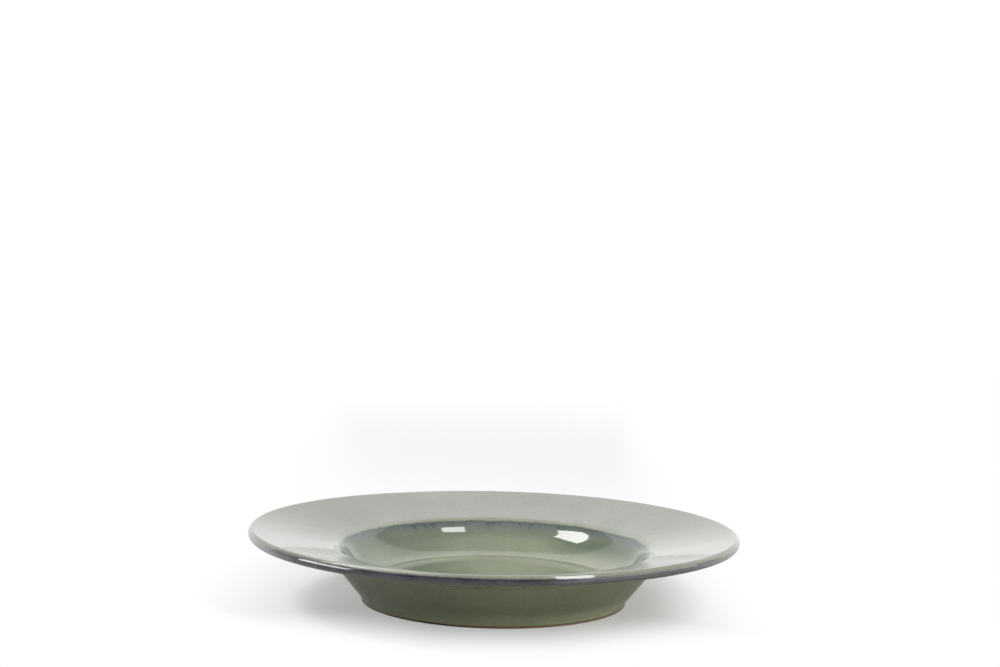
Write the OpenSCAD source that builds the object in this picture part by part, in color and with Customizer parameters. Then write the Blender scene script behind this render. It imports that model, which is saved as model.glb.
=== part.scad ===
// Wide-rimmed pasta bowl in glazed red stoneware.
// The origin is the centre of the foot, on the table, with +Z up.
// One fired clay body carries four coats of glaze, and each coat is a skin of its own.

/* [Rim] */
// Diameter over the glazed lip
rim_d = 280; // [264:2:300]
// Height of the lip's top above the table
rim_h = 41.8; // [39:0.2:46]
// Thickness of the lip, glaze included
lip_t = 6; // [5.4:0.1:7]
// Radius of the lip's upper edge, glaze included
lip_top_r = 1.9; // [1.4:0.1:2.4]
// Length of the short face between the lip's upper and lower edges
lip_face = 0.7; // [0.4:0.1:1.2]
// Slope of that face's outward way
lip_face_a = 30; // [26:1:38]
// Thickness of the clay at the root of the flange, by the shoulder
flange_t = 5.8; // [5:0.1:7]

/* [Well] */
// Diameter at the shoulder, where the flange turns down into the well
well_d = 178; // [170:1:186]
// Height of the shoulder above the table
shoulder_h = 31; // [28:0.2:33]
// Rounding of the shoulder
shoulder_r = 13; // [6:1:18]
// Height of the floor's edge above the table
floor_h = 12; // [11:0.2:14]
// Depth of the shallow dish in the floor, at its centre
floor_dish = 0.8; // [0.2:0.2:1.6]
// Radius of the cove between floor and wall
cove_r = 30; // [14:1:34]
// Radius of the easy bend where the floor's rise begins
floor_bend_r = 900; // [300:100:1500]
// Thickness of the clay in the wall, at the level of the floor
wall_t = 5.8; // [5:0.1:6.8]

/* [Underside] */
// Slope of the wall's outer face
wall_a = 51; // [47:1:56]
// Radius in the corner under the flange
under_r = 10; // [4:1:14]
// Outside diameter of the foot ring
foot_d = 151.8; // [148:0.2:155]
// Height of the foot ring's upright face
foot_h = 2.7; // [2:0.1:3.6]
// Width of the foot ring
foot_w = 7; // [5.5:0.5:10]
// Radius where the wall springs from the foot ring
foot_fillet_r = 3.6; // [1:0.2:6]
// Rounding of the foot ring's two edges
foot_edge_r = 0.6; // [0.3:0.1:0.8]
// Depth of the recess inside the foot ring
recess_h = 5.6; // [4:0.2:6.2]
// How far the wall of the recess leans inwards over its depth
recess_draft = 2; // [1:0.5:4]
// Radius in the corner of the recess
recess_r = 2; // [1:0.5:2.5]

/* [Glaze] */
// Thickness of the fired glaze
glaze_t = 0.4; // [0.2:0.1:0.6]
// Width of bare clay left between the table and the glaze, outside the foot ring
bare_h = 1; // [0.9:0.1:1.3]
// Width of bare clay left between the table and the glaze, in the recess
bare_in_h = 1.6; // [1.2:0.1:2]
// Upper edge of the lip's dark band, as an angle round the lip
band_top_a = 22; // [8:1:25]
// Lower edge of the lip's dark band, as an angle round the lip
band_under_a = 40; // [30:2:60]

/* [Hidden] */

// Facets round the bowl's axis
round_fn = 240;
// The turn in degrees from point to point of an arc, and the fewest steps in one
arc_step = 4;
arc_least = 4;
// The floor is level from the axis out to this share of its radius, then rises to its edge
level_share = 0.5;
// An arc takes up no more than these shares of the sides beside its corner
side_share = 0.49;
cove_share = 0.68;
shoulder_share = 0.3;

clay_colour = [0.50, 0.32, 0.24];
inside_colour = [0.55, 0.59, 0.48];
lip_colour = [0.27, 0.27, 0.33];
outside_colour = [0.38, 0.41, 0.29];
base_colour = [0.42, 0.45, 0.33];

function unit(v) = v / norm(v);
function heading(v) = atan2(v.y, v.x);
function toward(a) = [cos(a), sin(a)];
function left_of(v) = [-v.y, v.x];

// Points on a circle from one angle to another, both ends included
function arc(centre, r, from, to) =
    let (n = max(arc_least, ceil(abs(to - from) / arc_step)))
    [for (i = [0 : n]) centre + r * toward(from + (to - from) * i / n)];

// The arc that rounds corner b between the sides b-a and b-c
function rounded(a, b, c, r, share = side_share) =
    let (
        back = unit(a - b),
        on = unit(c - b),
        half = acos(back * on) / 2,
        reach = min(r / tan(half), share * norm(a - b), share * norm(c - b)),
        arc_r = reach * tan(half),
        centre = b + unit(back + on) * arc_r / sin(half),
        from = heading(b + back * reach - centre),
        swing = heading(b + on * reach - centre) - from,
        turn = swing > 180 ? swing - 360 : swing < -180 ? swing + 360 : swing
    )
    arc(centre, arc_r, from, from + turn);

// Where the line through p along u meets the line through q along v
function crossing(p, u, q, v) = p + u * ((q - p) * left_of(v)) / (u * left_of(v));

// The way from point p to where its tangent touches a circle: side 1 over it, -1 under it
function tangent_way(p, centre, r, side) =
    let (way = centre - p)
    toward(heading(way) + side * asin(r / norm(way)));

// The line that runs beside another at distance d, on its right
function beside(line, d) =
    let (last = len(line) - 1)
    [for (i = [0 : last])
        let (
            k = max(i, 1),
            m = min(i, last - 1),
            before = left_of(unit(line[k] - line[k - 1])),
            after = left_of(unit(line[m + 1] - line[m])),
            mean = unit(before + after)
        )
        line[i] - mean * d / (mean * before)];

// The lip is a bead with a short face. Its lower radius is what the thickness leaves for it.
face_out = toward(lip_face_a);
lip_under_r = (lip_t - lip_top_r * (1 - face_out.y) - lip_face * face_out.x) / (1 + face_out.y);
under_centre = [rim_d / 2 - lip_under_r, rim_h - lip_t + lip_under_r];
top_centre = under_centre + face_out * (lip_under_r - lip_top_r) + left_of(face_out) * lip_face;
under_clay_r = lip_under_r - glaze_t;
top_clay_r = lip_top_r - glaze_t;

// The flange runs from it down to the shoulder
shoulder = [well_d / 2, shoulder_h];
flange_way = tangent_way(shoulder, top_centre, top_clay_r, 1);
lip_top_a = heading(left_of(flange_way));
lip_top = top_centre + top_clay_r * toward(lip_top_a);

// Outside, the wall springs from the foot ring and meets the flange under its root
foot_edge = [foot_d / 2, 0];
spring = foot_edge + [0, foot_h];
wall_way = toward(wall_a);
root = shoulder - left_of(flange_way) * flange_t;
under_way = tangent_way(root, under_centre, under_clay_r, -1);
under_corner = crossing(root, under_way, spring, wall_way);
lip_under_a = heading(-left_of(under_way));
lip_under = under_centre + under_clay_r * toward(lip_under_a);

// Inside, the wall rises from the floor's edge, at its own thickness from the outer face
wall_inside = spring + left_of(wall_way) * wall_t;
floor_edge = crossing(wall_inside, wall_way, [0, floor_h], [1, 0]);
floor_centre = [0, floor_h - floor_dish];
floor_bend = [floor_edge.x * level_share, floor_centre.y];

// Underneath, the foot ring stands round a shallow recess
ring_in = foot_edge - [foot_w, 0];
recess_corner = ring_in + [-recess_draft, recess_h];
recess_centre = [0, recess_h];
recess_way = unit(recess_corner - ring_in);
bare_edge = foot_edge + [0, bare_h];
bare_in_edge = ring_in + recess_way * bare_in_h / recess_way.y;

// Every line of the section runs with the clay on its left and the air on its right.
// This one goes from the foot ring up to the lip's band.
outside_line = concat(
    [bare_edge],
    rounded(bare_edge, spring, under_corner, foot_fillet_r),
    rounded(spring, under_corner, lip_under, under_r),
    arc(under_centre, under_clay_r, lip_under_a, -band_under_a)
);

// The edge of the lip, within the band
lip_arc = arc(under_centre, under_clay_r, -band_under_a, band_top_a);
lip_line = [for (i = [1 : len(lip_arc) - 2]) lip_arc[i]];

// The upper face, from the band in to the axis
inside_line = concat(
    arc(under_centre, under_clay_r, band_top_a, lip_face_a),
    arc(top_centre, top_clay_r, lip_face_a, lip_top_a),
    rounded(lip_top, shoulder, floor_edge, shoulder_r, shoulder_share),
    rounded(shoulder, floor_edge, floor_bend, cove_r, cove_share),
    rounded(floor_edge, floor_bend, floor_centre, floor_bend_r),
    [floor_centre]
);

// The roof and the wall of the recess, from the axis out
base_line = concat(
    [recess_centre],
    rounded(recess_centre, recess_corner, ring_in, recess_r),
    [bare_in_edge]
);

// The bare foot ring, from the recess out
foot_line = concat(
    rounded(bare_in_edge, ring_in, foot_edge, foot_edge_r),
    rounded(ring_in, foot_edge, bare_edge, foot_edge_r)
);

// The coats above the foot lie on one line, and the band begins and ends at these points of it
glazed_line = concat(outside_line, lip_line, inside_line);
band_first = len(outside_line) - 1;
band_last = band_first + len(lip_line) + 1;

module turned(outline) {
    rotate_extrude($fn = round_fn)
        polygon(outline);
}

// A coat of glaze on a stretch of a line
module coat(line, first, last) {
    skin = beside(line, glaze_t);
    turned(concat(
        [for (i = [first : last]) line[i]],
        [for (i = [last : -1 : first]) skin[i]]
    ));
}

// The fired clay: foot ring, floor, wall, flange and lip are one piece
module clay_body() {
    color(clay_colour)
        turned(concat(glazed_line, base_line, foot_line));
}

module inside_glaze() {
    color(inside_colour)
        coat(glazed_line, band_last, len(glazed_line) - 1);
}

module lip_glaze() {
    color(lip_colour)
        coat(glazed_line, band_first, band_last);
}

module outside_glaze() {
    color(outside_colour)
        coat(glazed_line, 0, band_first);
}

module base_glaze() {
    color(base_colour)
        coat(base_line, 0, len(base_line) - 1);
}

clay_body();
inside_glaze();
lip_glaze();
outside_glaze();
base_glaze();
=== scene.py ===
"""A wide-rimmed pasta bowl in green-glazed stoneware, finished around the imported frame.

Lengths are in metres, and points of the bowl's section are complex numbers: radius + height * 1j.
"""
import math

import bpy
import numpy as np
from mathutils import Matrix, Vector


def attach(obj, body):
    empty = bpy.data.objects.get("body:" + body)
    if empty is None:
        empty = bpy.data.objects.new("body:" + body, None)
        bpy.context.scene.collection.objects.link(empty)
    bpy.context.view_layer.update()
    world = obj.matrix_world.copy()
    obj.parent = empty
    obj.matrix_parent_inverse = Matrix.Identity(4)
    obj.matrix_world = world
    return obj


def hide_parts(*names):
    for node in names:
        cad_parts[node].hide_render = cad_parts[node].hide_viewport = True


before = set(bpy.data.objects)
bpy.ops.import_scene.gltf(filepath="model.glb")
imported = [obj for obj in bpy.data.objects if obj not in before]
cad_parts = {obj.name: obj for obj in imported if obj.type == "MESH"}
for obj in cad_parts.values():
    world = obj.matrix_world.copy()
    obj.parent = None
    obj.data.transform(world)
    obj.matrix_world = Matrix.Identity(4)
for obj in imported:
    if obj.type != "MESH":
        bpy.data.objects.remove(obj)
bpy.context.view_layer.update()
MM = 0.001

# Clay body
# One piece of red stoneware: floor, wall, flange, lip and foot ring are thrown and turned on the wheel
# together, then fired. Glaze hides all of it but the foot ring, wiped bare so that it won't stick.
RIM_D = 280 * MM
RIM_H = 41.8 * MM
LIP_T = 6 * MM
LIP_TOP_R = 1.9 * MM
LIP_FACE = 0.7 * MM
LIP_FACE_A = 30
FLANGE_T = 5.8 * MM
WELL_D = 178 * MM
SHOULDER_H = 31 * MM
SHOULDER_R = 13 * MM
SHOULDER_SHARE = 0.3
FLOOR_H = 12 * MM
FLOOR_DISH = 0.8 * MM
FLOOR_LEVEL_SHARE = 0.5
FLOOR_BEND_R = 900 * MM
COVE_R = 30 * MM
COVE_SHARE = 0.68
WALL_T = 5.8 * MM
WALL_A = 51
UNDER_R = 10 * MM
FOOT_D = 151.8 * MM
FOOT_H = 2.7 * MM
FOOT_W = 7 * MM
FOOT_FILLET_R = 3.6 * MM
FOOT_EDGE_R = 0.6 * MM
RECESS_H = 5.6 * MM
RECESS_DRAFT = 2 * MM
RECESS_R = 2 * MM
GLAZE_T = 0.4 * MM
BARE_H = 1 * MM
BARE_IN_H = 1.6 * MM
BAND_TOP_A = 22
BAND_UNDER_A = 40
ARC_STEP = 3
ARC_LEAST = 4
SIDE_SHARE = 0.49


def unit(v):
    return v / abs(v)


def toward(angle):
    return np.exp(1j * np.radians(angle))


def heading(v):
    return np.degrees(np.angle(v))


def arc(centre, r, start, stop):
    """Points of a circle: centre + r * e^(i * angle), the angle going from start to stop in even steps."""
    steps = max(ARC_LEAST, math.ceil(abs(stop - start) / ARC_STEP))
    return centre + r * toward(np.linspace(start, stop, steps + 1))


def rounded(a, b, c, r, share=SIDE_SHARE):
    """The arc that rounds corner b. It touches the sides b-a and b-c at reach = r / tan(half the corner),
    and its centre is reach / cos(half the corner) along the line that halves the corner."""
    back, on = unit(a - b), unit(c - b)
    half = abs(np.angle(on / back)) / 2
    reach = min(r / math.tan(half), share * abs(a - b), share * abs(c - b))
    centre = b + unit(back + on) * reach / math.cos(half)
    first = b + back * reach - centre
    start = heading(first)
    return arc(centre, abs(first), start, start + heading((b + on * reach - centre) / first))


def crossing(p, u, q, v):
    """Where the line through p along u meets the line through q along v, from their cross products."""
    return p + u * (np.conj(q - p) * v).imag / (np.conj(u) * v).imag


def tangent_way(p, centre, r, side):
    """The way from p that just touches a circle: the way to its centre, turned by asin(r / distance)."""
    way = centre - p
    return unit(way) * np.exp(1j * side * math.asin(r / abs(way)))


face_out = toward(LIP_FACE_A)
lip_under_r = (LIP_T - LIP_TOP_R * (1 - face_out.imag) - LIP_FACE * face_out.real) / (1 + face_out.imag)
under_centre = RIM_D / 2 - lip_under_r + 1j * (RIM_H - LIP_T + lip_under_r)
top_centre = under_centre + face_out * (lip_under_r - LIP_TOP_R) + face_out * 1j * LIP_FACE
under_clay_r = lip_under_r - GLAZE_T
top_clay_r = LIP_TOP_R - GLAZE_T

shoulder = WELL_D / 2 + 1j * SHOULDER_H
flange_way = tangent_way(shoulder, top_centre, top_clay_r, 1)
lip_top_a = heading(flange_way * 1j)
lip_top = top_centre + top_clay_r * toward(lip_top_a)

foot_edge = FOOT_D / 2 + 0j
spring = foot_edge + 1j * FOOT_H
wall_way = toward(WALL_A)
root = shoulder - flange_way * 1j * FLANGE_T
under_way = tangent_way(root, under_centre, under_clay_r, -1)
under_corner = crossing(root, under_way, spring, wall_way)
lip_under_a = heading(under_way * -1j)
lip_under = under_centre + under_clay_r * toward(lip_under_a)

floor_edge = crossing(spring + wall_way * 1j * WALL_T, wall_way, 1j * FLOOR_H, 1)
floor_centre = 1j * (FLOOR_H - FLOOR_DISH)
floor_bend = floor_edge.real * FLOOR_LEVEL_SHARE + floor_centre

ring_in = foot_edge - FOOT_W
recess_corner = ring_in - RECESS_DRAFT + 1j * RECESS_H
recess_centre = 1j * RECESS_H
recess_way = unit(recess_corner - ring_in)
bare_edge = foot_edge + 1j * BARE_H
bare_in_edge = ring_in + recess_way * BARE_IN_H / recess_way.imag

# Every line of the section runs with the clay on its left and the air on its right
outside_line = np.r_[
    bare_edge,
    rounded(bare_edge, spring, under_corner, FOOT_FILLET_R),
    rounded(spring, under_corner, lip_under, UNDER_R),
    arc(under_centre, under_clay_r, lip_under_a, -BAND_UNDER_A),
]
lip_line = arc(under_centre, under_clay_r, -BAND_UNDER_A, BAND_TOP_A)
inside_line = np.r_[
    arc(under_centre, under_clay_r, BAND_TOP_A, LIP_FACE_A),
    arc(top_centre, top_clay_r, LIP_FACE_A, lip_top_a),
    rounded(lip_top, shoulder, floor_edge, SHOULDER_R, SHOULDER_SHARE),
    rounded(shoulder, floor_edge, floor_bend, COVE_R, COVE_SHARE),
    rounded(floor_edge, floor_bend, floor_centre, FLOOR_BEND_R),
    floor_centre,
]
base_line = np.r_[
    recess_centre,
    rounded(recess_centre, recess_corner, ring_in, RECESS_R),
    bare_in_edge,
]
foot_line = np.r_[
    rounded(bare_in_edge, ring_in, foot_edge, FOOT_EDGE_R),
    rounded(ring_in, foot_edge, bare_edge, FOOT_EDGE_R),
]

TURNS = 360
SHARP_A = 35
AXIS_R = 1e-9
# Each wave: how many go round, how high it is, and its phase
RIM_OUT = (1, 0.83 * MM, 2.08), (2, 0.29 * MM, -0.64)
RIM_RISE = (1, 0.28 * MM, -2.65), (2, 0.23 * MM, 0.83), (3, 0.18 * MM, 2.64)
turn = np.arange(TURNS)[:, None] * 2 * math.pi / TURNS


def swell(waves, wave=np.cos):
    """The sum of height * wave(count * turn + phase)."""
    return sum(height * wave(count * turn + phase) for count, height, phase in waves)


def hand_turned(section):
    """No thrown bowl is quite true. The rim lies a little aside and out of round, and it rises and falls.
    Both swells fade as radius squared times height, to nothing at the foot, which stands flat."""
    far = (section.real / (RIM_D / 2)) ** 2 * section.imag / RIM_H
    return section + far * (swell(RIM_OUT) + 1j * swell(RIM_RISE))


def turned(name, section):
    """Surface of revolution. Point (r, z) of a closed section goes to (r cos t, r sin t, z) at each turn t,
    and four neighbours make a face. On the axis all turns share one point, and the faces are triangles."""
    section = hand_turned(np.broadcast_to(section, (TURNS, section.shape[-1])))
    on_axis = section.real[0] < AXIS_R
    index = np.arange(section.size).reshape(section.shape)
    index = np.where(on_axis, index[0], index)
    on = np.roll(index, -1, 0)
    faces = np.stack([index, on, np.roll(on, -1, 1), np.roll(index, -1, 1)], -1).reshape(-1, 4)
    double = faces == np.roll(faces, -1, 1)
    quads = faces[~double.any(1)]
    tips = double.sum(1) == 1
    triangles = faces[tips][~double[tips]].reshape(-1, 3)
    used, corners = np.unique(np.r_[quads.ravel(), triangles.ravel()], return_inverse=True)
    places = np.stack([section.real * np.cos(turn), section.real * np.sin(turn), section.imag], -1)
    quads, triangles = corners[:quads.size].reshape(-1, 4), corners[quads.size:].reshape(-1, 3)
    mesh = bpy.data.meshes.new(name)
    mesh.from_pydata(places.reshape(-1, 3)[used].tolist(), [], quads.tolist() + triangles.tolist())
    mesh.shade_smooth()
    mesh.set_sharp_from_angle(angle=math.radians(SHARP_A))
    piece = bpy.data.objects.new(name, mesh)
    bpy.context.scene.collection.objects.link(piece)
    return piece


class Recipe:
    """Writes a node tree, step by step. An input takes another node's socket, or a value of its own."""

    def __init__(self, tree):
        self.tree = tree

    def fill(self, node, inputs):
        for key, value in inputs.items():
            if isinstance(value, bpy.types.NodeSocket):
                self.tree.links.new(value, node.inputs[key])
            else:
                node.inputs[key].default_value = value
        return node

    def node(self, kind, inputs, **settings):
        node = self.tree.nodes.new(kind)
        for name, value in settings.items():
            setattr(node, name, value)
        return self.fill(node, inputs)

    def place(self):
        return self.node("ShaderNodeTexCoord", {}).outputs["Object"]

    def parts(self, place):
        return self.node("ShaderNodeSeparateXYZ", {0: place}).outputs

    def sum(self, operation, *values):
        return self.node("ShaderNodeMath", dict(enumerate(values)), operation=operation).outputs[0]

    def chain(self, operation, first, *others):
        """The same step of arithmetic with one value after another."""
        for other in others:
            first = self.sum(operation, first, other)
        return first

    def vector(self, operation, *values, output=0, **inputs):
        given = {**dict(enumerate(values)), **inputs}
        return self.node("ShaderNodeVectorMath", given, operation=operation).outputs[output]

    def ease(self, value, start, stop, low=0.0, high=1.0):
        """Goes smoothly from low at start to high at stop, and either of the two may be the greater."""
        spans = {"Value": value, "From Min": start, "From Max": stop, "To Min": low, "To Max": high}
        return self.node("ShaderNodeMapRange", spans, interpolation_type="SMOOTHSTEP").outputs[0]

    def noise(self, place, size, detail=2.0):
        """Soft noise from 0 to 1, whose blots are about size across."""
        inputs = {"Vector": place, "Scale": 1 / size, "Detail": detail}
        return self.node("ShaderNodeTexNoise", inputs).outputs[0]

    def mix(self, share, under, over):
        inputs = {"Factor": share, 6: under, 7: over}
        return self.node("ShaderNodeMix", inputs, data_type="RGBA").outputs[2]

    def ramp(self, value, reach, stops):
        """Colours at their places from 0 to reach, with smooth passages between them."""
        node = self.node("ShaderNodeValToRGB", {"Fac": self.sum("DIVIDE", value, reach)})
        band = node.color_ramp
        band.interpolation = "EASE"
        band.elements.remove(band.elements[1])
        (at, band.elements[0].color), *others = stops
        band.elements[0].position = at / reach
        for at, tint in others:
            band.elements.new(at / reach).color = tint
        return node.outputs[0]

    def use(self, tree, **inputs):
        return self.node("ShaderNodeGroup", inputs, node_tree=tree).outputs


def colour(red, green, blue):
    return red, green, blue, 1.0


def fired(name, shape, rough):
    """A material whose shader takes its colour and normal from shape(recipe)."""
    material = bpy.data.materials.new(name)
    material.use_nodes = True
    recipe = Recipe(material.node_tree)
    shader = material.node_tree.nodes["Principled BSDF"]
    recipe.fill(shader, {"Roughness": rough, **shape(recipe)})
    return material


CLAY = colour(0.26, 0.16, 0.1)
CLAY_PALE = colour(0.36, 0.235, 0.15)
# The specks' iron, which is also the painted shade on one side of the foot
CLAY_IRON_AND_SHADE = colour(0.05, 0.025, 0.018)
CLAY_SHADE_AT = 15 * MM, -30 * MM
CLAY_ROUGH = 0.85
CLAY_CLOUD = 9 * MM
CLAY_CLOUDED = 0.35, 0.7
CLAY_GRAIN = 0.45 * MM
CLAY_SPECK = 1.1 * MM
CLAY_SPECKED = 0.68, 0.74
CLAY_PIT = 0.05 * MM


def bare_clay(recipe):
    """Toasted red clay with paler clouds, a sandy grain and rare specks of iron. Painted shade darkens one
    side of the foot nearly to black, in the iron's colour."""
    place = recipe.place()
    grain = recipe.noise(place, CLAY_GRAIN, detail=3.0)
    cloud = recipe.ease(recipe.noise(place, CLAY_CLOUD), *CLAY_CLOUDED)
    tint = recipe.mix(recipe.sum("MULTIPLY", cloud, grain), CLAY, CLAY_PALE)
    speck = recipe.ease(recipe.noise(place, CLAY_SPECK, detail=1.0), *CLAY_SPECKED)
    # Painted shade: one side of the foot goes over to the dark iron colour
    shaded_side = recipe.ease(recipe.parts(place)["X"], *CLAY_SHADE_AT)
    tint = recipe.mix(recipe.sum("MAXIMUM", speck, shaded_side), tint, CLAY_IRON_AND_SHADE)
    bump = recipe.node("ShaderNodeBump", {"Height": grain, "Distance": CLAY_PIT})
    return {"Base Color": tint, "Normal": bump.outputs[0]}


body_section = np.r_[outside_line, lip_line[1:-1], inside_line, base_line, foot_line]
clay_body = turned("bare_clay_body", body_section)
clay_body.data.materials.append(fired("bare_clay", bare_clay, CLAY_ROUGH))
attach(clay_body, "root")
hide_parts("clay_body")

# Base glaze
# The thin coat of glaze in the recess inside the foot ring. It is poured and rolled round before the bowl
# is dipped, and it stops short of the ring's foot, where it was wiped with a sponge.
STEP = 1.25 * MM
STEP_SLACK = 1e-6
THIN_SHARE = 0.05
EDGE_WAVE = 0.15 * MM
EDGE_REACH = 1.2 * MM
EDGE_WAVES = (3, 1.0, 1.0), (8, 0.7, 0.0), (19, 0.5, 2.0), (41, 0.3, 0.0)
RING_H = 0.012 * MM
RING_PITCH = 7 * MM
RING_WIDE = 1.7
RING_WIDE_SHARE = 0.6
RING_WIDE_TURN = 1.3
RING_FADE = 6


def even(line, step):
    """The same line, with each run cut into equal lengths no longer than step."""
    parts = np.ceil(abs(np.diff(line)) / step - STEP_SLACK).astype(int)
    run = np.repeat(np.arange(len(parts)), parts)
    share = (np.arange(parts.sum()) - (np.cumsum(parts) - parts)[run]) / parts[run]
    return np.r_[line[run] + share * np.diff(line)[run], line[-1]]


def outward(line):
    """Away from the clay at each point: the mean way of the two runs that meet there, turned right by a
    quarter, and lengthened by 1 / cos(half the corner's turn), so that a skin keeps its distance."""
    ways = np.diff(line) / abs(np.diff(line)) * -1j
    before, after = np.r_[ways[:1], ways], np.r_[ways, ways[-1:]]
    mean = unit(before + after)
    return mean / (mean * np.conj(before)).real


def throwing_rings(line):
    """The potter's fingers leave a spiral: RING_H * sin(2 pi * radius / RING_PITCH + turn), with a second,
    wider spiral in it. It fades out at the axis and towards the rim."""
    radius = line.real
    spiral = np.sin(2 * math.pi * radius / RING_PITCH + turn)
    wide = np.sin(2 * math.pi * radius / (RING_WIDE * RING_PITCH) + turn + RING_WIDE_TURN)
    near, far = np.exp(-((radius / RING_PITCH) ** 2)), (radius / (RIM_D / 2)) ** RING_FADE
    return RING_H * (spiral + RING_WIDE_SHARE * wide) * (1 - near) * (1 - far)


def coat(name, line, wiped_at=math.inf):
    """Closed section of a coat: its skin goes along the line, GLAZE_T away from the clay, and comes back
    on the clay. Near wiped_at, by e^-(distance / EDGE_REACH)^2, it thins to a feather edge, and the edge
    wanders up and down the clay."""
    def laid(points, depth):
        near = np.exp(-((abs(points - wiped_at) / EDGE_REACH) ** 2))
        thinned = depth * (1 - (1 - THIN_SHARE) * near)
        return points + outward(points) * (thinned + 1j * EDGE_WAVE * near * swell(EDGE_WAVES, np.sin))

    skin = even(line, STEP)
    return turned(name, np.hstack([laid(skin, GLAZE_T + throwing_rings(skin)), laid(line, 0)[:, ::-1]]))


FLOAT, COLOUR, VECTOR = "NodeSocketFloat", "NodeSocketColor", "NodeSocketVector"
PLAIN_GREY = colour(0.2, 0.2, 0.2)


def group(name, inputs, outputs, shape):
    """A node group with these inputs (kind, value) and outputs (kind), filled in by shape(recipe, given)."""
    tree = bpy.data.node_groups.new(name, "ShaderNodeTree")
    for key, (kind, value) in inputs.items():
        tree.interface.new_socket(key, in_out="INPUT", socket_type=kind).default_value = value
    for key, kind in outputs.items():
        tree.interface.new_socket(key, in_out="OUTPUT", socket_type=kind)
    recipe = Recipe(tree)
    given = recipe.node("NodeGroupInput", {}).outputs
    recipe.node("NodeGroupOutput", shape(recipe, given))
    return tree


GLAZE_ROUGH = 0.06
# Noise lies mostly from 0.3 to 0.7, and this spreads it to half a step either way
VARIED = 0.3, 0.7, -0.5, 0.5
MOTTLE = 2.2 * MM
CLOUD = 24 * MM
PINHOLE = 0.45 * MM
PINHOLE_FLOOR = 0.4
PINHOLE_DEPTH = PINHOLE / 4
PINHOLE_APART = 22 * MM
PINHOLE_SHARE = 0.16
PINHOLE_DARK = colour(0.06, 0.055, 0.04)
RIPPLE = 14 * MM
RIPPLE_DEPTH = 0.05 * MM
PEEL = 2.6 * MM
PEEL_DEPTH = 0.002 * MM


def glaze_pool(recipe, given):
    """Melted glaze: Colour varied by clouds and a fine mottle, with a pinhole here and there, and the normal
    of a surface that pulled smooth over slow ripples and a faint orange peel."""
    place = recipe.place()
    cloud = recipe.ease(recipe.noise(place, CLOUD), *VARIED)
    mottle = recipe.ease(recipe.noise(place, MOTTLE, detail=3.0), *VARIED)
    shade = recipe.sum("MULTIPLY_ADD", recipe.sum("ADD", cloud, mottle), given["Mottle"], 1.0)
    tint = recipe.vector("SCALE", given["Colour"], Scale=shade)
    cells = recipe.node("ShaderNodeTexVoronoi", {"Vector": place, "Scale": 1 / PINHOLE_APART}).outputs
    width = PINHOLE / PINHOLE_APART
    near = recipe.ease(cells["Distance"], width, PINHOLE_FLOOR * width)
    pinhole = recipe.sum("MULTIPLY", near, recipe.sum("LESS_THAN", cells["Color"], PINHOLE_SHARE))
    height = recipe.sum("MULTIPLY", recipe.noise(place, RIPPLE, detail=1.0), RIPPLE_DEPTH)
    height = recipe.sum("MULTIPLY_ADD", recipe.noise(place, PEEL, detail=1.0), PEEL_DEPTH, height)
    height = recipe.sum("MULTIPLY_ADD", pinhole, -PINHOLE_DEPTH, height)
    height = recipe.sum("ADD", given["Height"], height)
    bump = recipe.node("ShaderNodeBump", {"Height": height, "Distance": 1.0})
    return {"Colour": recipe.mix(pinhole, tint, PINHOLE_DARK), "Normal": bump.outputs[0]}


pool = group(
    "glaze_pool",
    {"Colour": (COLOUR, PLAIN_GREY), "Mottle": (FLOAT, 0.0), "Height": (FLOAT, 0.0)},
    {"Colour": COLOUR, "Normal": VECTOR},
    glaze_pool,
)


def glazed(recipe, tint, mottle, height=0.0):
    made = recipe.use(pool, Colour=tint, Mottle=mottle, Height=height)
    return {"Base Color": made["Colour"], "Normal": made["Normal"]}


BASE_OLIVE = colour(0.20, 0.205, 0.125)
BASE_THIN = colour(0.22, 0.14, 0.075)
BASE_THIN_AT = BARE_IN_H + 1.2 * MM, BARE_IN_H
BASE_MOTTLE = 0.18


def base_finish(recipe):
    """Olive glaze, which breaks to brown where it thins towards the foot ring."""
    thin = recipe.ease(recipe.parts(recipe.place())["Z"], *BASE_THIN_AT)
    return glazed(recipe, recipe.mix(thin, BASE_OLIVE, BASE_THIN), BASE_MOTTLE)


base_glaze = coat("recess_coat", base_line, bare_in_edge)
base_glaze.data.materials.append(fired("base_glaze", base_finish, GLAZE_ROUGH))
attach(base_glaze, "root")
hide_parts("base_glaze")

# Outside glaze
# The olive coat under the flange, down the outer wall and on the foot ring's outer face. The bowl was
# dipped, so the coat breaks to brown in a hairline where it was wiped off at the foot.
FLAT = 1, 1, 0
BAND_UNDER = -42, -5
BAND_TOP = 39, 8
TAIL_UNDER = -130, -80
TAIL_TOP = 20, 0
BAND_RAGGED_A = 12
BAND_BLOT = 5 * MM


def radius_of(recipe, place):
    """Distance from the axis: the length of (x, y, 0)."""
    return recipe.vector("LENGTH", recipe.vector("MULTIPLY", place, FLAT), output="Value")


def lip_band(recipe, given):
    """Where the lip's dark band lies, by the angle round the lip's centre. The brush laid it thick in the
    middle, and it melted away over BAND_UNDER and BAND_TOP. Noise moves both edges. Its tail is the iron
    that bled from it into the olive below, under the lip."""
    place = recipe.place()
    up = recipe.sum("SUBTRACT", recipe.parts(place)["Z"], under_centre.imag)
    out = recipe.sum("SUBTRACT", radius_of(recipe, place), under_centre.real)
    angle = recipe.sum("DEGREES", recipe.sum("ARCTAN2", up, out))
    ragged = recipe.sum("SUBTRACT", recipe.noise(place, BAND_BLOT, detail=4.0), 0.5)
    angle = recipe.sum("MULTIPLY_ADD", ragged, BAND_RAGGED_A, angle)
    band = recipe.sum("MULTIPLY", recipe.ease(angle, *BAND_UNDER), recipe.ease(angle, *BAND_TOP))
    tail = recipe.sum("MULTIPLY", recipe.ease(angle, *TAIL_UNDER), recipe.ease(angle, *TAIL_TOP))
    return {"Band": band, "Tail": tail}


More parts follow.
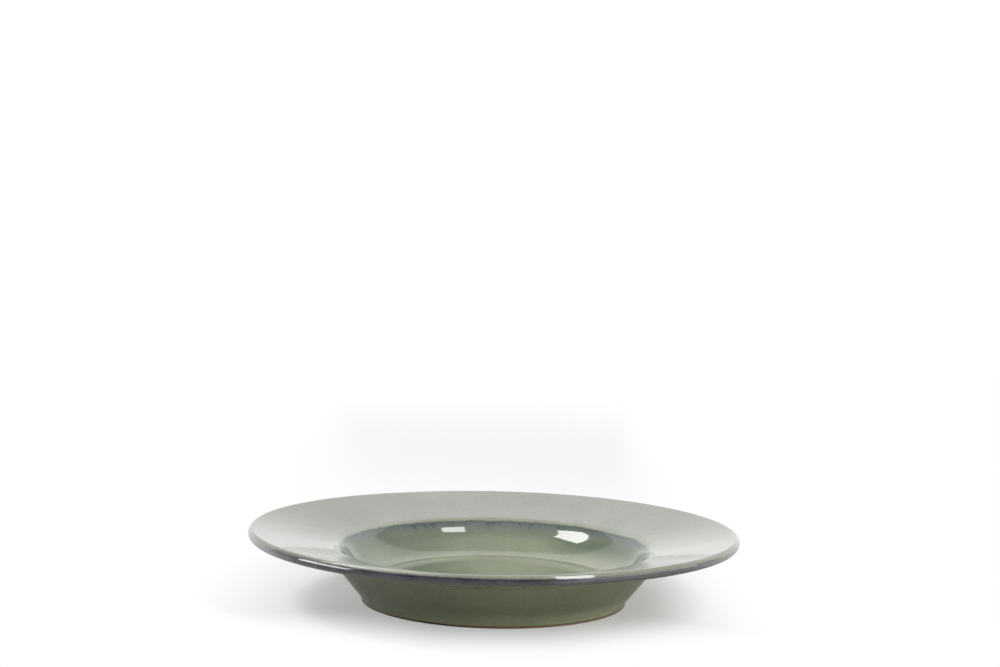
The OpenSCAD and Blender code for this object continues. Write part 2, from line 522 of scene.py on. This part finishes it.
band = group("lip_band", {}, {"Band": FLOAT, "Tail": FLOAT}, lip_band)
BAND_SLATE = colour(0.024, 0.024, 0.034)
BAND_LILAC = colour(0.05, 0.051, 0.068)
BAND_CLOUD = 9 * MM
BAND_CLOUDED = 0.4, 0.7
BAND_BROWN = colour(0.055, 0.034, 0.03)
BAND_FLECK = 3.5 * MM
BAND_FLECKED = 0.58, 0.7, 0.0, 0.7
BAND_SIDE_SHEEN = colour(0.082, 0.084, 0.088)
BAND_SIDE_SHEEN_AT = 25 * MM, 45 * MM, 0.0, 0.85
BAND_EDGE_SHEEN = colour(0.2, 0.2, 0.22)
BAND_EDGE_SHEEN_AT = 95 * MM, 137 * MM
BAND_TAIL = colour(0.05, 0.056, 0.036)


def band_colour(recipe, given):
    """Slate blue over iron: violet-grey clouds and brown where the glaze ran thin. A painted reflection
    makes it paler on one side, and painted reflections make it palest at both sides."""
    place = recipe.place()
    x = recipe.parts(place)["X"]
    cloud = recipe.ease(recipe.noise(place, BAND_CLOUD, detail=3.0), *BAND_CLOUDED)
    fleck = recipe.ease(recipe.noise(place, BAND_FLECK, detail=3.0), *BAND_FLECKED)
    tint = recipe.mix(fleck, recipe.mix(cloud, BAND_SLATE, BAND_LILAC), BAND_BROWN)
    # Painted reflection that pales the band on one side
    tint = recipe.mix(recipe.ease(x, *BAND_SIDE_SHEEN_AT), tint, BAND_SIDE_SHEEN)
    # Painted reflections that make the band palest at both sides
    tint = recipe.mix(recipe.ease(recipe.sum("ABSOLUTE", x), *BAND_EDGE_SHEEN_AT), tint, BAND_EDGE_SHEEN)
    laid = recipe.use(band)
    under = recipe.mix(laid["Tail"], given["Colour"], BAND_TAIL)
    return {"Colour": recipe.mix(laid["Band"], under, tint)}


banded = group("band_colour", {"Colour": (COLOUR, PLAIN_GREY)}, {"Colour": COLOUR}, band_colour)
OUTSIDE_OLIVE = colour(0.195, 0.203, 0.126)
OUTSIDE_TABLE_LIT = colour(0.38, 0.405, 0.255)
OUTSIDE_TABLE_LIT_AT = 11 * MM, 2 * MM
OUTSIDE_SHADE = colour(0.152, 0.156, 0.112)
OUTSIDE_SHADE_AT = 20 * MM, -75 * MM
OUTSIDE_THIN = colour(0.22, 0.185, 0.12)
OUTSIDE_THIN_AT = BARE_H + 0.8 * MM, BARE_H + 0.2 * MM
OUTSIDE_MOTTLE = 0.12


def outside_finish(recipe):
    """Olive glaze, brown in a hairline at its edge. Painted light from the bright table pales it above the
    foot, and painted shade darkens one side."""
    x, _, height = recipe.parts(recipe.place())
    # Painted light: the table's reflection and bounce, paler above the foot
    tint = recipe.mix(recipe.ease(height, *OUTSIDE_TABLE_LIT_AT), OUTSIDE_OLIVE, OUTSIDE_TABLE_LIT)
    # Painted shade on one side of the outer wall
    tint = recipe.mix(recipe.ease(x, *OUTSIDE_SHADE_AT), tint, OUTSIDE_SHADE)
    tint = recipe.mix(recipe.ease(height, *OUTSIDE_THIN_AT), tint, OUTSIDE_THIN)
    return glazed(recipe, recipe.use(banded, Colour=tint)["Colour"], OUTSIDE_MOTTLE)


outside_glaze = coat("outside_coat", outside_line, bare_edge)
outside_glaze.data.materials.append(fired("outside_glaze", outside_finish, GLAZE_ROUGH))
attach(outside_glaze, "root")
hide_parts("outside_glaze")

# Lip glaze
# The slate band round the lip. It is brushed on over the edge of the other two coats while the bowl turns,
# and melts into them.
LIP_CREAM = colour(0.25, 0.265, 0.21)
LIP_SHEEN = colour(0.45, 0.46, 0.39)
LIP_SHEEN_AT = -15 * MM, -60 * MM
LIP_MOTTLE = 0.25


def lip_cream_and_sheen(recipe, given):
    """The coat under the band breaks to cream on the lip's edge; painted reflection pales one side."""
    # Painted reflection: the lip is paler on one side
    side = recipe.ease(recipe.parts(recipe.place())["X"], *LIP_SHEEN_AT)
    return {"Colour": recipe.mix(side, LIP_CREAM, LIP_SHEEN)}


cream = group("lip_cream_and_sheen", {}, {"Colour": COLOUR}, lip_cream_and_sheen)


def lip_finish(recipe):
    tint = recipe.use(banded, Colour=recipe.use(cream)["Colour"])["Colour"]
    return glazed(recipe, tint, LIP_MOTTLE)


lip_glaze = coat("lip_coat", lip_line)
lip_glaze.data.materials.append(fired("lip_glaze", lip_finish, GLAZE_ROUGH))
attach(lip_glaze, "root")
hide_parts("lip_glaze")

# Inside glaze
# The grey-green coat that fills the well and covers the flange. On the shoulder it broke to a pale edge,
# and below that it ran down the wall in blue-grey streaks before it froze.
RUN_APART = 2 * MM
RUN_LENGTH = 14 * MM
RUN_REACH = 1.5 * MM
RUN_SWAY = 12 * MM
RUN_SWAY_REACH = 2.6 * MM
RUN_SWAY_FLOW = 1.2
RUN_WALL = 68 * MM, 84 * MM
RUN_DEPTH = 0.004 * MM


def glaze_runs(recipe, given):
    """Radius is where on the wall the glaze at a point came from: the point's own radius, moved up or down
    by noise that is drawn out down the wall, and by a slower sway. Flow is how freely it ran there, and
    Height is how far it stands proud of the wall."""
    place = recipe.place()
    radius = radius_of(recipe, place)
    around = recipe.vector("NORMALIZE", recipe.vector("MULTIPLY", place, FLAT))
    around = recipe.vector("SCALE", around, Scale=WELL_D / 2)
    drop = recipe.sum("MULTIPLY", radius, RUN_APART / RUN_LENGTH)
    down = recipe.node("ShaderNodeCombineXYZ", {"Z": drop}).outputs[0]
    streak = recipe.noise(recipe.vector("ADD", around, down), RUN_APART, detail=3.0)
    sway = recipe.sum("SUBTRACT", recipe.noise(place, RUN_SWAY, detail=4.0), 0.5)
    moved = recipe.sum("MULTIPLY_ADD", recipe.sum("SUBTRACT", streak, 0.5), RUN_REACH, radius)
    moved = recipe.sum("MULTIPLY_ADD", sway, RUN_SWAY_REACH, moved)
    on_wall = recipe.ease(radius, *RUN_WALL)
    return {
        "Radius": recipe.mix(on_wall, radius, moved),
        "Flow": recipe.sum("MULTIPLY_ADD", sway, RUN_SWAY_FLOW, streak),
        "Height": recipe.chain("MULTIPLY", streak, on_wall, RUN_DEPTH),
    }


runs = group("glaze_runs", {}, {"Radius": FLOAT, "Flow": FLOAT, "Height": FLOAT}, glaze_runs)
FLOOR_GREEN = colour(0.272, 0.3, 0.213)
WALL_GREEN = colour(0.26, 0.287, 0.202)
RUN_GREEN = colour(0.20, 0.225, 0.17)
RUN_BLUE = colour(0.15, 0.175, 0.155)
RUN_TEAL = colour(0.105, 0.126, 0.112)
SHOULDER_PALE = colour(0.29, 0.31, 0.245)
FLANGE_PALE = colour(0.25, 0.265, 0.222)
FLANGE_GREEN = colour(0.224, 0.239, 0.2)
INSIDE_COLOURS = [
    (66 * MM, FLOOR_GREEN),
    (80 * MM, WALL_GREEN),
    (84 * MM, RUN_GREEN),
    (86.6 * MM, RUN_BLUE),
    (88.4 * MM, RUN_TEAL),
    (89.9 * MM, SHOULDER_PALE),
    (93 * MM, FLANGE_PALE),
    (120 * MM, FLANGE_GREEN),
]
INSIDE_MOTTLE = 0.1
CREAM_AT = 134 * MM, 137 * MM
RUN_DARK = colour(0.055, 0.075, 0.07)
RUN_DARK_FROM = 85.5 * MM, 87.5 * MM
RUN_DARK_TO = 89.8 * MM, 88.6 * MM
RUN_DARK_AT = 0.5, 0.8, 0.0, 0.6
FLOOR_DARK_SIDE = colour(0.122, 0.142, 0.102)
FLOOR_DARK_SIDE_AT = 12 * MM, -62 * MM
FLOOR_DARK_SIDE_TO = 64 * MM, 55 * MM
WALL_SHADE = colour(0.13, 0.166, 0.118)
WALL_SHADE_RIGHT = 20 * MM, 58 * MM
WALL_SHADE_LEFT = -5 * MM, -50 * MM, 0.0, 0.6
WALL_SHADE_LEAN = -0.1
WALL_SHADE_FROM = 67 * MM, 77 * MM
WALL_SHADE_TO = 87 * MM, 81 * MM
FLANGE_SHADE = colour(0.18, 0.194, 0.163)
FLANGE_SHADE_AT = -30 * MM, -115 * MM
FLANGE_SHADE_FROM = 90 * MM, 97 * MM


def inside_finish(recipe):
    """INSIDE_COLOURS by the radius that the runs have moved, with dark flecks under the shoulder where they
    flowed most, and the cream of the lip outside them. The floor is darker on one side, and painted shade
    darkens one side of the flange and the wall low on both sides."""
    place = recipe.place()
    radius = radius_of(recipe, place)
    x = recipe.parts(place)["X"]
    ran = recipe.use(runs)
    tint = recipe.ramp(ran["Radius"], RIM_D / 2, INSIDE_COLOURS)
    tint = recipe.mix(recipe.ease(radius, *CREAM_AT), tint, recipe.use(cream)["Colour"])
    below, above = recipe.ease(ran["Radius"], *RUN_DARK_FROM), recipe.ease(ran["Radius"], *RUN_DARK_TO)
    fleck = recipe.chain("MULTIPLY", below, above, recipe.ease(ran["Flow"], *RUN_DARK_AT))
    tint = recipe.mix(fleck, tint, RUN_DARK)
    # Darker on one side of the floor
    floor = recipe.ease(radius, *FLOOR_DARK_SIDE_TO)
    tint = recipe.mix(recipe.sum("MULTIPLY", floor, recipe.ease(x, *FLOOR_DARK_SIDE_AT)), tint, FLOOR_DARK_SIDE)
    # Painted shade low on both sides of the well's wall
    leaning = recipe.sum("MULTIPLY_ADD", x, WALL_SHADE_LEAN, radius)
    sides = recipe.sum("MAXIMUM", recipe.ease(x, *WALL_SHADE_RIGHT), recipe.ease(x, *WALL_SHADE_LEFT))
    low, high = recipe.ease(leaning, *WALL_SHADE_FROM), recipe.ease(radius, *WALL_SHADE_TO)
    tint = recipe.mix(recipe.chain("MULTIPLY", low, high, sides), tint, WALL_SHADE)
    # Painted shade on one side of the flange
    flange = recipe.ease(radius, *FLANGE_SHADE_FROM)
    tint = recipe.mix(recipe.sum("MULTIPLY", flange, recipe.ease(x, *FLANGE_SHADE_AT)), tint, FLANGE_SHADE)
    return glazed(recipe, recipe.use(banded, Colour=tint)["Colour"], INSIDE_MOTTLE, ran["Height"])


inside_glaze = coat("inside_coat", inside_line)
inside_glaze.data.materials.append(fired("inside_glaze", inside_finish, GLAZE_ROUGH))
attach(inside_glaze, "root")
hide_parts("inside_glaze")

# Table
# A plain white sheet, which isn't part of the bowl and holds its shadow. To the camera it goes over to pure
# white around the shadow, and in what the glaze mirrors it does so further out, and brightens behind.
TABLE_W = 8.0
TABLE_WHITE = 0.8
TABLE_SEEN = 0.66
TABLE_LIFT = 0.26
TABLE_FRONT = 0.055, 0.15
TABLE_FOOT = 0.03
TABLE_FRONT_TURN = 0.54
TABLE_LEFT = -0.068, -0.2
TABLE_RIGHT = 0.075, 0.155
TABLE_BACK = 0.3, 1.2
TABLE_AROUND = 0.14, 0.4
TABLE_RISE = 0.12, 0.7
TABLE_SWEEP = 0.16
edge = TABLE_W / 2
table_corners = [(-edge, -edge, 0), (edge, -edge, 0), (edge, edge, 0), (-edge, edge, 0)]
table_mesh = bpy.data.meshes.new("table")
table_mesh.from_pydata(table_corners, [], [(0, 1, 2, 3)])
table = bpy.data.objects.new("table", table_mesh)
bpy.context.scene.collection.objects.link(table)
table_material = bpy.data.materials.new("table_white")
table_material.use_nodes = True
table_material.node_tree.nodes.remove(table_material.node_tree.nodes["Principled BSDF"])
sheet = Recipe(table_material.node_tree)

rays = sheet.node("ShaderNodeLightPath", {}).outputs
direct = rays["Is Camera Ray"]
mirrored = sheet.sum("MAXIMUM", rays["Is Glossy Ray"], rays["Is Transmission Ray"])
x, y, _ = sheet.parts(sheet.place())
aside = sheet.sum("MAXIMUM", sheet.sum("SUBTRACT", sheet.sum("ABSOLUTE", x), TABLE_FOOT), 0.0)
front = sheet.sum("SUBTRACT", sheet.sum("MULTIPLY", aside, TABLE_FRONT_TURN), y)
front, back = sheet.ease(front, *TABLE_FRONT), sheet.ease(y, *TABLE_BACK)
left, right = sheet.ease(x, *TABLE_LEFT), sheet.ease(x, *TABLE_RIGHT)
clear = sheet.sum("MULTIPLY", sheet.chain("MAXIMUM", front, back, left, right), direct)
around = sheet.sum("MULTIPLY", sheet.ease(radius_of(sheet, sheet.place()), *TABLE_AROUND), mirrored)
sweep = sheet.sum("MULTIPLY", sheet.ease(y, *TABLE_RISE, 0.0, TABLE_SWEEP), mirrored)
white = sheet.node("ShaderNodeEmission", {"Strength": sheet.sum("ADD", sweep, 1.0)})
# The camera alone sees a darker paint with a lift over it, and so a paler shadow
paint = sheet.ease(direct, 0.0, 1.0, TABLE_WHITE, TABLE_SEEN)
matt = sheet.node("ShaderNodeBsdfDiffuse", {"Color": paint})
lift = sheet.node("ShaderNodeEmission", {"Strength": sheet.sum("MULTIPLY", direct, TABLE_LIFT)})
near = sheet.node("ShaderNodeAddShader", {0: matt.outputs[0], 1: lift.outputs[0]})
far = sheet.sum("MAXIMUM", clear, around)
finish = sheet.node("ShaderNodeMixShader", {0: far, 1: near.outputs[0], 2: white.outputs[0]})
sheet.fill(table_material.node_tree.nodes["Material Output"], {"Surface": finish.outputs[0]})
table_mesh.materials.append(table_material)

# Studio
# A white backdrop stands behind the bowl, dimmer in a band across it and at its foot, and the rest of the
# room is dim. Soft boxes hang high and low on both sides. A glint is one that shows in the gloss alone.
BACKDROP = 1.36
BACKDROP_SIDE = 1.6
BACKDROP_TOP = 1.48
BACKDROP_SOFT = 0.12
ROOM = 0.3
BEHIND_LEAST = 0.001
DIM = 0.18
DIM_FROM = 0.12, 0.4
DIM_TO = 0.65, 0.45
LOW_DIM = 0.2
LOW_DIM_TO = 0.13, 0.02
SOFT_BOXES = {
    "left": dict(azimuth=-88.5, height=49.3, away=1.5, size=(0.54, 0.34), watts=9, roll=10),
    "left_low": dict(azimuth=-79, height=13, away=1.5, size=(0.78, 0.62), watts=7, roll=0),
    "left_glint": dict(azimuth=-79, height=13, away=1.51, size=(0.78, 0.62), watts=11, roll=0),
    "right_glint": dict(azimuth=41.7, height=43.1, away=1.51, size=(0.4, 0.97), watts=4.5, roll=-15.4),
    "right": dict(azimuth=41.7, height=43.1, away=1.5, size=(0.38, 0.97), watts=11, roll=-15.4),
    "right_low": dict(azimuth=70, height=13, away=1.6, size=(2.0, 0.66), watts=9, roll=0),
}

world = bpy.data.worlds.new("studio")
bpy.context.scene.world = world
world.use_nodes = True
studio = Recipe(world.node_tree)
x, y, z = studio.parts(studio.node("ShaderNodeTexCoord", {}).outputs["Generated"])
behind = studio.sum("MAXIMUM", y, BEHIND_LEAST)
side = studio.sum("ABSOLUTE", studio.sum("DIVIDE", x, behind))
up = studio.sum("DIVIDE", z, behind)
on_side = studio.ease(side, BACKDROP_SIDE + BACKDROP_SOFT, BACKDROP_SIDE - BACKDROP_SOFT)
on_top = studio.ease(up, BACKDROP_TOP + BACKDROP_SOFT, BACKDROP_TOP - BACKDROP_SOFT)
backdrop = studio.sum("MULTIPLY", on_side, on_top)
dim = studio.sum("MULTIPLY", studio.ease(up, *DIM_FROM), studio.ease(up, *DIM_TO))
dim = studio.sum("MULTIPLY_ADD", dim, DIM, studio.ease(up, *LOW_DIM_TO, 0.0, LOW_DIM))
strength = studio.sum("MULTIPLY_ADD", backdrop, BACKDROP - ROOM, ROOM)
strength = studio.sum("SUBTRACT", strength, studio.sum("MULTIPLY", dim, backdrop))
camera_ray = studio.node("ShaderNodeLightPath", {}).outputs["Is Camera Ray"]
strength = studio.sum("MAXIMUM", strength, camera_ray)
studio.fill(world.node_tree.nodes["Background"], {"Color": colour(1, 1, 1), "Strength": strength})

for name, box in SOFT_BOXES.items():
    lamp = bpy.data.lights.new("soft_box_" + name, "AREA")
    lamp.shape = "RECTANGLE"
    lamp.size, lamp.size_y = box["size"]
    lamp.energy = box["watts"]
    azimuth, height, roll = (math.radians(box[angle]) for angle in ("azimuth", "height", "roll"))
    level = Vector((math.sin(azimuth), -math.cos(azimuth), 0)) * math.cos(height)
    way = level + Vector((0, 0, math.sin(height)))
    aim = way.to_track_quat("Z", "Y").to_matrix().to_4x4() @ Matrix.Rotation(roll, 4, "Z")
    soft_box = bpy.data.objects.new(lamp.name, lamp)
    soft_box.matrix_world = Matrix.Translation(way * box["away"]) @ aim
    soft_box.visible_diffuse = not name.endswith("glint")
    bpy.context.scene.collection.objects.link(soft_box)

# Camera
# It stands a metre in front of the bowl and a little above the rim, and looks slightly down.
CAMERA_AT = Vector((0, -1.02625, 0.21875))
CAMERA_PITCH = 0.06355
CAMERA_YAW = 0.0005
CAMERA_ROLL = 0.0219
CAMERA_LENS = 64.8
CAMERA_SENSOR = 36
camera = bpy.data.objects.new("camera", bpy.data.cameras.new("camera"))
camera.data.lens = CAMERA_LENS
camera.data.sensor_width = CAMERA_SENSOR
aim = Matrix.Rotation(-CAMERA_YAW, 4, "Z") @ Matrix.Rotation(math.pi / 2 - CAMERA_PITCH, 4, "X")
camera.matrix_world = Matrix.Translation(CAMERA_AT) @ aim @ Matrix.Rotation(CAMERA_ROLL, 4, "Z")
bpy.context.scene.collection.objects.link(camera)
bpy.context.scene.camera = camera
bpy.context.scene.view_settings.view_transform = "Standard"
